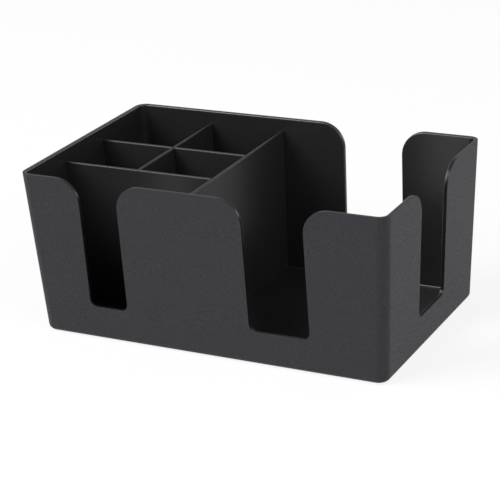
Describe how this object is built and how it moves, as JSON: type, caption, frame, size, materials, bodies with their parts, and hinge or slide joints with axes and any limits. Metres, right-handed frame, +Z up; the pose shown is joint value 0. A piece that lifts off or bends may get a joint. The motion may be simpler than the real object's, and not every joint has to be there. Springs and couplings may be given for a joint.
{
  "type": "bar caddy",
  "caption": "Open bar-top caddy with leaning walls, U-shaped finger cut-outs, a napkin bay, a straw bay and small cells between slot-in dividers.",
  "frame": {"origin": "on the table under the middle of the tub", "axes": "+X along the length towards the napkin bay, +Y from the front to the back, +Z up"},
  "size_m": [0.241, 0.147, 0.1047],
  "materials": {
    "tub_plastic": "black moulded plastic, fine spark-eroded texture outside, smooth inside",
    "divider_plastic": "black moulded plastic, smooth satin",
    "foot_rubber": "matte black rubber"
  },
  "bodies": {
    "tub": {"tub": "tub_plastic", "foot_front_left": "foot_rubber", "foot_front_right": "foot_rubber", "foot_rear_left": "foot_rubber", "foot_rear_right": "foot_rubber"},
    "main_divider": {"main_divider": "divider_plastic"},
    "front_divider": {"front_divider": "divider_plastic"},
    "rear_divider": {"rear_divider": "divider_plastic"},
    "cross_divider": {"cross_divider": "divider_plastic"}
  },
  "joints": [
    {"name": "main_divider_lift", "type": "slide", "parent": "tub", "child": "main_divider", "axis": [0, 0, 1], "range_m": [0, 0.105]},
    {"name": "front_divider_lift", "type": "slide", "parent": "tub", "child": "front_divider", "axis": [0, 0, 1], "range_m": [0, 0.105]},
    {"name": "rear_divider_lift", "type": "slide", "parent": "tub", "child": "rear_divider", "axis": [0, 0, 1], "range_m": [0, 0.105]},
    {"name": "cross_divider_lift", "type": "slide", "parent": "rear_divider", "child": "cross_divider", "axis": [0, 0, 1], "range_m": [0, 0.105]}
  ]
}
